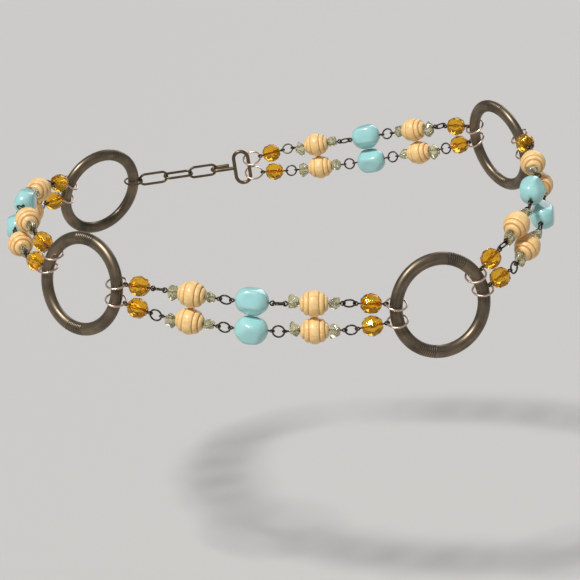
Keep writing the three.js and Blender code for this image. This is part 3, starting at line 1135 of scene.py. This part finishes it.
@dataclass(frozen=True)
class Rings:
    """The four bronze rings, with an oval bar cut across by two bands of fine grooves."""

    layout: Layout
    finish: BronzeFinish = BronzeFinish()
    grooves: int = 9
    groove_pitch: float = 1.05
    groove_depth: float = 0.18
    samples_per_groove: int = 8
    plain_samples: int = 56
    sides: int = 28
    section_power: float = 2.0
    streak_reach: float = 4.0
    pattern_step: float = 17.0
    leans: dict[Holder, float] = field(
        default_factory=lambda: {
            Holder.FRONT_LEFT: 6.0,
            Holder.FRONT_RIGHT: -35.0,
            Holder.BACK_RIGHT: 12.0,
            Holder.BACK_LEFT: 20.0,
        }
    )

    def _stations(self) -> tuple[Array, Array]:
        """Angles round the ring and the depth of the grooves there.

        Returns:
            Angles, close together in the two bands, and depths d sin^4(pi k) over the k grooves.
        """
        half_band = self.grooves * self.groove_pitch / self.layout.sizes.bar_radius / 2
        count = self.grooves * self.samples_per_groove
        band = np.linspace(-half_band, half_band, count, endpoint=False)
        plain = np.linspace(half_band, np.pi - half_band, self.plain_samples, endpoint=False)
        cut = self.groove_depth * np.sin(np.pi * np.arange(count) / self.samples_per_groove) ** 4
        half = np.concatenate([band, plain]) + np.pi / 2
        half_cut = np.concatenate([cut, np.zeros(self.plain_samples)])
        return np.concatenate([half, half + np.pi]), np.tile(half_cut, 2)

    def surface(self) -> Surface:
        """The ring round Y.

        Returns:
            (R + x) (cos a, 0, -sin a) - z Y, where (x, z) is the bar's oval of power n, shrunk by
            the depth of the cut at the angle a.
        """
        sizes = self.layout.sizes
        angle, cut = self._stations()
        turn = 2 * np.pi * np.arange(self.sides) / self.sides
        cos, sin = np.cos(turn), np.sin(turn)
        power = 2 / self.section_power
        x = sizes.bar_width / 2 * np.sign(cos) * np.abs(cos) ** power
        z = sizes.bar_thickness / 2 * np.sign(sin) * np.abs(sin) ** power
        kept = 1 - cut[:, None] / np.hypot(x, z)[None, :]
        reach = sizes.bar_radius + x * kept
        corners = np.stack(
            [reach * np.cos(angle)[:, None], -z * kept, -reach * np.sin(angle)[:, None]], axis=-1
        )
        slow = self.streak_reach * np.cos(angle)[:, None] + 0 * x
        own = np.stack([x + 0 * slow, z + 0 * slow, slow], axis=-1)
        wear_and_shade = 1 - cut / self.groove_depth
        faces = (lattice(len(angle), self.sides, ring=True),)
        return Surface(
            corners.reshape(-1, 3), faces, own.reshape(-1, 3), np.repeat(wear_and_shade, self.sides)
        )

    def build(self) -> None:
        """Puts a ring at each of its four places."""
        material = self.finish.material()
        surface = self.surface()
        for number, (holder, stand) in enumerate(self.layout.rings.items()):
            placing = Placing.facing(stand.point, stand.out, -stand.up).spun(self.leans[holder])
            shift = np.array([0.0, 0.0, self.pattern_step * number])
            shifted = surface.placed(placing).shifted(shift)
            node = f"ring_{holder.value}"
            add_piece(f"bronze_{node}", [shifted], material, [node])


@dataclass(frozen=True)
class BeadForms:
    """The outlines of the three kinds of bead."""

    sizes: Sizes
    drill: float = 0.7
    amber_sides: int = 9
    amber_rows: tuple[tuple[float, float, bool], ...] = (
        (-1.0, 0.42, False),
        (-0.62, 0.84, True),
        (0.0, 1.0, False),
        (0.62, 0.84, True),
        (1.0, 0.42, False),
    )
    wood_rows: int = 120
    wood_columns: int = 44
    wood_grooves: tuple[float, ...] = (-0.74, -0.37, 0.37, 0.74)
    barrel_fall: float = 0.89
    band_slope: float = 0.58
    groove_width: float = 0.028
    groove_depth: float = 0.025
    band_swell: float = 0.14

    def amber(self) -> Surface:
        """A cut glass bead of flat facets between rows of corners, drilled through.

        Returns:
            The surface: corners at (r sin t, h, r cos t), t = 2 pi (c + q) / n with q a half where
            the row is turned.
        """
        bead = self.sizes.amber
        hole = self.drill / bead.radius
        rows = [*self.amber_rows, (1.0, hole, False), (-1.0, hole, False)]
        at, share, turned = (np.array(column) for column in zip(*rows))
        step = np.arange(self.amber_sides)[None, :] + 0.5 * turned[:, None]
        turn = 2 * np.pi * step / self.amber_sides
        radius = (share * bead.radius)[:, None]
        height = (at * bead.length / 2)[:, None] + 0 * turn
        grid = np.stack([radius * np.sin(turn), height, radius * np.cos(turn)], axis=-1)
        corners = grid.reshape(-1, 3)
        return Surface(corners, (facets(turned, self.amber_sides),), corners, np.ones(len(corners)))

    def wood(self) -> Surface:
        """A barrel turned with five bulging bands.

        Returns:
            The surface of radius R sqrt(1 - b t^2) (1 - s (1 - sqrt(1 - u^2))) (1 - g), where b is
            the barrel's fall, u the place within a band, s its swell, t the band's middle plus a
            share of the way from it, so that each band stands as a tier, and g a narrow cut
            exp(-(distance / w)^2) at each groove.
        """
        bead = self.sizes.wood
        at = np.linspace(-1, 1, self.wood_rows)
        edges = np.array([-1.0, *self.wood_grooves, 1.0])
        band = np.clip(np.searchsorted(edges, at, side="right") - 1, 0, len(edges) - 2)
        middle = (edges[band] + edges[band + 1]) / 2
        half = (edges[band + 1] - edges[band]) / 2
        swell = 1 - self.band_swell * (1 - np.sqrt(1 - ((at - middle) / half) ** 2))
        distance = np.abs(at[:, None] - np.array(self.wood_grooves))
        groove = np.exp(-((distance / self.groove_width) ** 2)).sum(1)
        tier = middle + self.band_slope * (at - middle)
        barrel = bead.radius * np.sqrt(1 - self.barrel_fall * tier**2)
        radius = barrel * swell * (1 - self.groove_depth * groove)
        # 1 - groove is 0 in the cuts, where the wood's finish paints shade.
        return lathe(radius, at * bead.length / 2, self.wood_columns, self.drill, 1 - groove)

    def turquoise(self, seed: int) -> Surface:
        """A pressed nugget with soft corners.

        Args:
            seed: What its chance shape comes from.

        Returns:
            The surface round Y, flattest along Z.
        """
        bead = self.sizes.turquoise
        nugget = Nugget(
            seed=seed,
            sides=5,
            softness=10.5,
            jitter=0.12,
            rows=48,
            columns=64,
            pole=0.14,
            lift=50.0,
            fullness=1.08,
        )
        width = 2 * bead.radius
        return nugget.surface((width, bead.length, width * bead.flatness), self.drill)

    def chip(self, seed: int, size: float, off: float) -> Surface:
        """A small cut stone.

        Args:
            seed: What its chance shape comes from.
            size: Its size as a share of the full height and depth.
            off: How far it sits off its pin, as a share of the full height.

        Returns:
            The surface round Y.
        """
        s = self.sizes
        nugget = Nugget(
            seed=seed,
            sides=4,
            softness=26.0,
            jitter=0.5,
            rows=20,
            columns=28,
            pole=0.42,
            lift=39.0,
            fullness=1.0,
        )
        outer = (s.chip_height * size, s.chip_length, s.chip_depth * size)
        return nugget.surface(outer, self.drill, off * s.chip_height)


@dataclass(frozen=True)
class Finishes:
    """The finishes of a string's pieces, made once."""

    amber: bpy.types.Material
    wood: bpy.types.Material
    turquoise: bpy.types.Material
    chips: bpy.types.Material
    large_links: bpy.types.Material
    small_wires: bpy.types.Material

    @classmethod
    def made(cls) -> "Finishes":
        """Makes all six.

        Returns:
            The finishes, mixed from their colours.
        """
        pink_brass = WireFinish("pink_brass", colour(240, 218, 200), colour(196, 164, 140), 0.2)
        gunmetal = WireFinish("dark_gunmetal", colour(92, 80, 68), colour(44, 38, 34), 0.24)
        return cls(
            AmberFinish().material(),
            WoodFinish().material(),
            TurquoiseFinish().material(),
            ChipFinish().material(),
            pink_brass.material(),
            gunmetal.material(),
        )


@dataclass(frozen=True)
class Strings:
    """The eight strings: beads and chips on eyed pins, joined by links and hung on large ones."""

    layout: Layout
    forms: BeadForms
    finishes: Finishes
    small_turns: dict[Row, tuple[float, ...]] = field(
        default_factory=lambda: {
            Row.UPPER: (12.0, 60.0, 8.0, 50.0),
            Row.LOWER: (78.0, 70.0, 84.0, 66.0),
        }
    )
    chip_seats: tuple[tuple[float, float, float], ...] = (
        (15.0, 0.1, 1.0),
        (70.0, -0.08, 0.94),
        (140.0, 0.12, 0.9),
        (215.0, -0.1, 1.0),
    )
    bead_order: tuple[Kind, ...] = (Kind.AMBER, Kind.WOOD, Kind.TURQUOISE, Kind.WOOD, Kind.AMBER)
    eye_start: float = 0.28
    eye_gap: float = 0.1
    eye_steps: int = 30
    shank_steps: int = 6
    wire_sides: int = 10
    chip_pattern_step: float = 9.0
    pattern_reach: float = 40.0
    facet_turn: float = 40.0
    first_seed: int = 7
    section_seeds: int = 100
    row_seeds: int = 50
    bead_seeds: int = 31

    def _flats(self, section: Section, row: Row, joints: list[Joint]) -> list[Array]:
        """The way that each link's flat side looks.

        Args:
            section: The string's section.
            row: Which of its two strings it is.
            joints: The string's six joints.

        Returns:
            For each link, out sin t - up cos t for its turn t.
        """
        first, last = LARGE_LINK_TURNS[section.first], LARGE_LINK_TURNS[section.last]
        turns = [first, *self.small_turns[row], last]
        return [joint.stand.turned(turn - 90) for joint, turn in zip(joints, turns)]

    def _link(self, joint: Joint, axis: Array, flat: Array) -> Surface:
        """A link at its joint."""
        return link_surface(joint.link).placed(Placing.facing(joint.point, axis, flat))

    def _eye(self, pin: Pin, end: int, neighbour: Joint, flat: Array) -> Surface:
        """A pin's open eye, which lies square to the link in it.

        Args:
            pin: The pin.
            end: -1 at its start and 1 at its end.
            neighbour: The link in the eye.
            flat: The way that the link's flat side looks.

        Returns:
            The wire round the eye: c + r (cos t u - sin t v), nearly a whole turn from the neck.
        """
        s = self.layout.sizes
        radius = (s.eye - s.pin_wire) / 2
        wire_middle = pin.end if end > 0 else pin.start
        inward = -end * pin.direction
        centre = wire_middle + inward * (radius - s.pin_wire / 2 - neighbour.link.wire / 2)
        across = unit(flat - (flat @ inward) * inward)
        turn = np.linspace(self.eye_start, 2 * np.pi - self.eye_gap, self.eye_steps)[:, None]
        path = centre + radius * (np.cos(turn) * inward + np.sin(turn) * across)
        side = np.cross(inward, across)
        return tube(path, side, s.pin_wire / 2, ring=False, sides=self.wire_sides)

    def _shank(self, pin: Pin, before: Joint, after: Joint, side: Array) -> Surface:
        """The straight part of a pin, from the neck of one eye to the neck of the other.

        Args:
            pin: The pin.
            before: The link in its first eye.
            after: The link in its last eye.
            side: A direction that isn't along the pin.

        Returns:
            The wire a + u (b - a) between the necks a and b.
        """
        s = self.layout.sizes
        reach = s.eye - 1.5 * s.pin_wire
        start = pin.start + pin.direction * (reach - before.link.wire / 2)
        end = pin.end - pin.direction * (reach - after.link.wire / 2)
        path = start + np.linspace(0, 1, self.shank_steps)[:, None] * (end - start)
        return tube(path, side, s.pin_wire / 2, ring=False, sides=self.wire_sides)

    def _wires(self, joints: list[Joint], pins: list[Pin], flats: list[Array]) -> list[Surface]:
        """A string's pins with their eyes, and its small links.

        Args:
            joints: The string's six joints.
            pins: Its five pins.
            flats: The way that each link's flat side looks.

        Returns:
            Two eyes and a shank for each pin, then the four small links.
        """
        made = []
        for index, pin in enumerate(pins):
            before, after = joints[index], joints[index + 1]
            made.append(self._eye(pin, -1, before, flats[index]))
            made.append(self._shank(pin, before, after, flats[index]))
            made.append(self._eye(pin, 1, after, flats[index + 1]))
        for index in range(1, 5):
            axis = joints[index + 1].point - joints[index - 1].point
            made.append(self._link(joints[index], axis, flats[index]))
        return made

    def _chips(self, pins: list[Pin], stand: Stand, seed: int) -> list[Surface]:
        """The four chips of a string, against the ends of its two wood beads.

        Args:
            pins: The string's five pins.
            stand: The section's directions.
            seed: What the chips' chance shapes come from.

        Returns:
            The four surfaces.
        """
        s = self.layout.sizes
        reach = (s.wood.length + s.chip_length) / 2 + s.gap
        places = [(pins[1], -1), (pins[1], 1), (pins[3], -1), (pins[3], 1)]
        made = []
        for number, ((pin, side), (turn, off, size)) in enumerate(zip(places, self.chip_seats)):
            point = pin.middle + side * reach * pin.direction
            placing = Placing.facing(point, pin.direction, stand.out).spun(turn)
            shift = np.array([0.0, 0.0, self.chip_pattern_step * (seed + number)])
            made.append(self.forms.chip(seed + number, size, off).shifted(shift).placed(placing))
        return made

    def _build_row(self, section: Section, row: Row, seed: int) -> None:
        """Builds one string's pieces.

        Args:
            section: The string's section.
            row: Which of its two strings it is.
            seed: The first of the numbers that its chance shapes come from.
        """
        stand = self.layout.section_stand(section)
        joints = self.layout.joints(section, row)
        pins = self.layout.pins(joints)
        flats = self._flats(section, row, joints)
        label = f"{section.name}_{row.label}"
        node = f"wires_and_chips_{label}"
        large = [
            self._link(joints[0], pins[0].direction, flats[0]),
            self._link(joints[-1], pins[-1].direction, flats[-1]),
        ]
        f = self.finishes
        add_piece(f"large_links_{label}", large, f.large_links, [node])
        wires = self._wires(joints, pins, flats)
        add_piece(f"pins_and_links_{label}", wires, f.small_wires, [node])
        chips = self._chips(pins, stand, seed)
        add_piece(f"chips_{label}", chips, f.chips, [node])
        for index, (kind, pin) in enumerate(zip(self.bead_order, pins)):
            suffix = "" if kind is Kind.TURQUOISE else f"_{1 if index < 2 else 2}"
            face = 0.0 if row is Row.UPPER else 180.0
            bead_seed = seed + self.bead_seeds * index
            self._build_bead(kind, f"{label}{suffix}", pin, stand, bead_seed, face)

    def _build_bead(
        self, kind: Kind, label: str, pin: Pin, stand: Stand, seed: int, face: float
    ) -> None:
        """Builds one bead on its pin.

        Args:
            kind: Which bead it is.
            label: The end of its name.
            pin: The pin that it is on.
            stand: The section's directions.
            seed: What its chance angle and pattern come from.
            face: Degrees about the pin that turn a nugget's flat side to the other string.
        """
        node = f"{kind.value}_{label}"
        chance = np.random.default_rng(seed)
        placing = Placing.facing(pin.middle, pin.direction, stand.out)
        low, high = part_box(node)
        error = np.linalg.norm((np.array(low) + np.array(high)) / 2 / MM - pin.middle)
        LOG.info("%s lies %.2f mm from its solid", node, error)
        shift = chance.uniform(-self.pattern_reach, self.pattern_reach, 3)
        if kind is Kind.AMBER:
            turned = placing.spun(chance.uniform(0, self.facet_turn))
            surface = self.forms.amber().placed(turned)
            finish, slot, smooth = self.finishes.amber, "amber_glass", False
        elif kind is Kind.WOOD:
            surface = self.forms.wood().placed(placing.spun(chance.uniform(0, 360)))
            finish, slot, smooth = self.finishes.wood, "turned_wood", True
        else:
            surface = self.forms.turquoise(seed).placed(placing.spun(face))
            finish, slot, smooth = self.finishes.turquoise, "turquoise_ceramic", True
        name = f"{kind.value}_bead_{label}"
        add_piece(name, [surface.shifted(shift)], finish, [node], smooth)

    def build(self) -> None:
        """Builds the strings of the four sections."""
        for number, section in enumerate(SECTIONS):
            for row in Row:
                row_seeds = self.row_seeds if row is Row.LOWER else 0
                seed = self.section_seeds * number + row_seeds + self.first_seed
                self._build_row(section, row, seed)


@dataclass(frozen=True)
class Closure:
    """The hook on its tall loop, and the short extension chain to the last ring."""

    layout: Layout
    finish: BronzeFinish = BronzeFinish(name="dark_bronze_wire", rubbed=colour(132, 112, 84))
    tip_flare: float = 0.1
    lap_share: float = 0.95

    def _hook(self) -> list[Surface]:
        """The hook's loop and its shank, bent back outwards.

        Returns:
            Two wires: a long link, and a line, a half circle (b sin t, b - b cos t) and a tip.
        """
        s = self.layout.sizes
        hook = self.layout.hook
        far = s.hook_loop_width - s.hook_wire
        loop = link_surface(Link(s.hook_loop_height, s.hook_wire, s.hook_loop_width), 56, 16)
        loop_placing = Placing.facing(hook.offset(along=far / 2), hook.up, hook.out)
        start = far + s.hook_reach - s.hook_bend
        straight = np.stack([np.linspace(far, start, 10, endpoint=False), np.zeros(10)], -1)
        turn = np.linspace(0, np.pi, 22)
        bend = np.stack([start + s.hook_bend * np.sin(turn), s.hook_bend * (1 - np.cos(turn))], -1)
        back = np.linspace(0, 1, 9)[1:]
        rise = s.hook_bend * (2 + self.tip_flare * back**2)
        tip = np.stack([start - s.hook_tip * back, rise], -1)
        plan = np.concatenate([straight, bend, tip])
        path = hook.point + plan[:, :1] * hook.along + plan[:, 1:] * hook.out
        shank = tube(path, hook.up, s.hook_wire / 2, ring=False, sides=16)
        return [loop.placed(loop_placing), shank]

    def _chain(self) -> list[Surface]:
        """Long links from inside the hook's bend to a large link round the last ring's bar.

        Returns:
            The links, evenly spaced, each turned square to the one before.
        """
        s = self.layout.sizes
        hook = self.layout.hook
        link, large = s.chain_link, s.large_link
        bend_inside = s.hook_loop_width - s.hook_wire + s.hook_reach - s.hook_wire / 2
        inside = bend_inside - s.link_clearance / 2 - link.wire / 2
        start = hook.offset(along=inside, out=s.hook_bend)
        bar, half_bar = self.layout.bar_point(Holder.BACK_LEFT, -1, 0)
        direction = unit(bar - start)
        ring_link = bar - direction * (s.large_inner - s.link_clearance - half_bar)
        span = float(np.linalg.norm(ring_link - start)) - large.wire_radius
        lap = link.wire * self.lap_share
        last_lap = (link.wire + large.wire) / 2 * self.lap_share
        nominal = link.outer - link.wire
        pairs = max(0, round(((span + last_lap - nominal) / (nominal - lap)) / 2))
        count = 2 * pairs + 1
        reach = (span + last_lap + (count - 1) * lap) / count
        up = self.layout.rings[Holder.BACK_LEFT].up
        across = np.cross(direction, up)
        form = link_surface(Link(reach + link.wire, link.wire, link.width), 48, 14)
        made = []
        for index in range(count):
            point = start + direction * (reach / 2 + index * (reach - lap))
            flat = up if index % 2 else across
            made.append(form.placed(Placing.facing(point, direction, flat)))
        made.append(link_surface(large).placed(Placing.facing(ring_link, direction, up)))
        return made

    def build(self) -> None:
        """Adds the hook and the chain."""
        material = self.finish.material()
        add_piece("bent_hook", self._hook(), material, ["hook"])
        add_piece("chain_links", self._chain(), material, ["extension_chain"])


@dataclass(frozen=True)
class Lamp:
    """A wide soft light: its name, the way that it comes from, its spread and its power."""

    name: str
    place: tuple[float, float, float]
    spread: float
    power: float


@dataclass(frozen=True)
class Studio:
    """A pale floor, soft lights and a camera where the photograph was taken from."""

    floor_height: float = -170.0
    floor_size: float = 14000.0
    elevation: float = 0.3062
    yaw: float = -0.1498
    roll: float = 0.0055
    aim: tuple[float, float, float] = (2.0658, 0.0, -19.6912)
    distance: float = 985.81
    focal_pixels: float = 1918.69
    image_pixels: float = 580.0
    sensor: float = 36.0
    lamps: tuple[Lamp, ...] = (
        Lamp("key_light", (-0.32, -0.53, 0.79), 10.0, 3.1),
        Lamp("side_light", (1.1, -0.6, 0.6), 40.0, 0.1),
        Lamp("back_light", (0.3, 1.0, 0.7), 40.0, 0.8),
    )
    air: Colour = colour(205, 207, 212)
    air_strength: float = 0.26

    def _floor(self) -> None:
        """A square of floor, far wider than the view."""
        half = self.floor_size / 2
        corners = np.array([[-half, -half, 0], [half, -half, 0], [half, half, 0], [-half, half, 0]])
        corners = corners + [0.0, 0.0, self.floor_height]
        surface = Surface(corners, (np.array([[0, 1, 2, 3]]),), corners, np.ones(4))
        make_object("floor", [surface], FloorFinish().material(), smooth=False)

    def _light(self, lamp: Lamp) -> None:
        """Adds a light of one strength everywhere.

        Args:
            lamp: The light's values. It shines from its place towards the origin.
        """
        light = bpy.data.lights.new(lamp.name, "SUN")
        light.energy, light.angle = lamp.power, np.radians(lamp.spread)
        made = bpy.data.objects.new(lamp.name, light)
        bpy.context.scene.collection.objects.link(made)
        back = unit(np.array(lamp.place))
        side = unit(np.cross([0.0, 0.0, 1.0], back))
        rows = np.stack([side, np.cross(back, side), back, np.array(lamp.place)], axis=1)
        made.matrix_world = Matrix([*rows.tolist(), [0, 0, 0, 1]])

    def _world(self) -> None:
        """Plain pale light from all round."""
        world = bpy.data.worlds.new("studio_air")
        world.use_nodes = True
        background = world.node_tree.nodes["Background"]
        background.inputs["Color"].default_value = self.air
        background.inputs["Strength"].default_value = self.air_strength
        bpy.context.scene.world = world

    def _camera(self) -> None:
        """The camera, along f = (sin y cos e, cos y cos e, -sin e), up = right x f, then rolled."""
        e, y, r = self.elevation, self.yaw, self.roll
        forward = np.array([np.sin(y) * np.cos(e), np.cos(y) * np.cos(e), -np.sin(e)])
        level = np.array([np.cos(y), -np.sin(y), 0.0])
        up = np.cross(level, forward)
        right = np.cos(r) * level + np.sin(r) * up
        up = np.cos(r) * up - np.sin(r) * level
        place = (np.array(self.aim) - forward * self.distance) * MM
        data = bpy.data.cameras.new("photo_camera")
        data.sensor_width = self.sensor
        data.lens = self.focal_pixels / self.image_pixels * self.sensor
        camera = bpy.data.objects.new("photo_camera", data)
        bpy.context.scene.collection.objects.link(camera)
        rows = np.stack([right, up, -forward, place], axis=1)
        camera.matrix_world = Matrix([*rows.tolist(), [0, 0, 0, 1]])
        bpy.context.scene.camera = camera

    def build(self) -> None:
        """Sets the stage."""
        self._floor()
        for lamp in self.lamps:
            self._light(lamp)
        self._world()
        self._camera()
        bpy.context.scene.view_settings.view_transform = "Standard"
        LOG.info("studio: floor, three soft lights and the camera")


def main() -> None:
    """Builds the belt piece by piece, then its stage."""
    logging.basicConfig(level=logging.INFO, format="%(message)s")
    layout = Layout(Sizes(), Waist())
    Studio().build()
    Rings(layout).build()
    Strings(layout, BeadForms(layout.sizes), Finishes.made()).build()
    Closure(layout).build()


if __name__ == "__main__":
    main()
